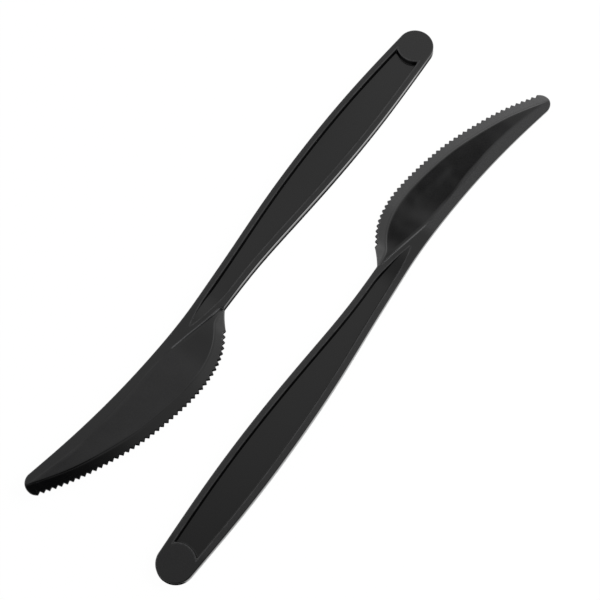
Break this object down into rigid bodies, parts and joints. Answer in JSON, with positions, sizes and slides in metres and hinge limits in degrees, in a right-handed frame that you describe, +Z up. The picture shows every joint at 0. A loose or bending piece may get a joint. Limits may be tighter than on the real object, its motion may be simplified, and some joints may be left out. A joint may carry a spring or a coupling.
{
  "type": "plastic cutlery pack",
  "caption": "Pair of glossy black disposable knives laid head to tail, each with a rimmed sunk handle panel, a round thumb disc and a curved toothed blade.",
  "frame": {"origin": "middle of the pair's box, on the surface that the knives lie on", "axes": "+X along the knives, the way the right knife points; +Y across them, from the right knife to the left one; +Z up"},
  "size_m": [0.1944, 0.0576, 0.0041],
  "materials": {
    "black_plastic": "moulded gloss black"
  },
  "bodies": {
    "root": {"knife_left": "black_plastic", "knife_right": "black_plastic"}
  },
  "joints": []
}
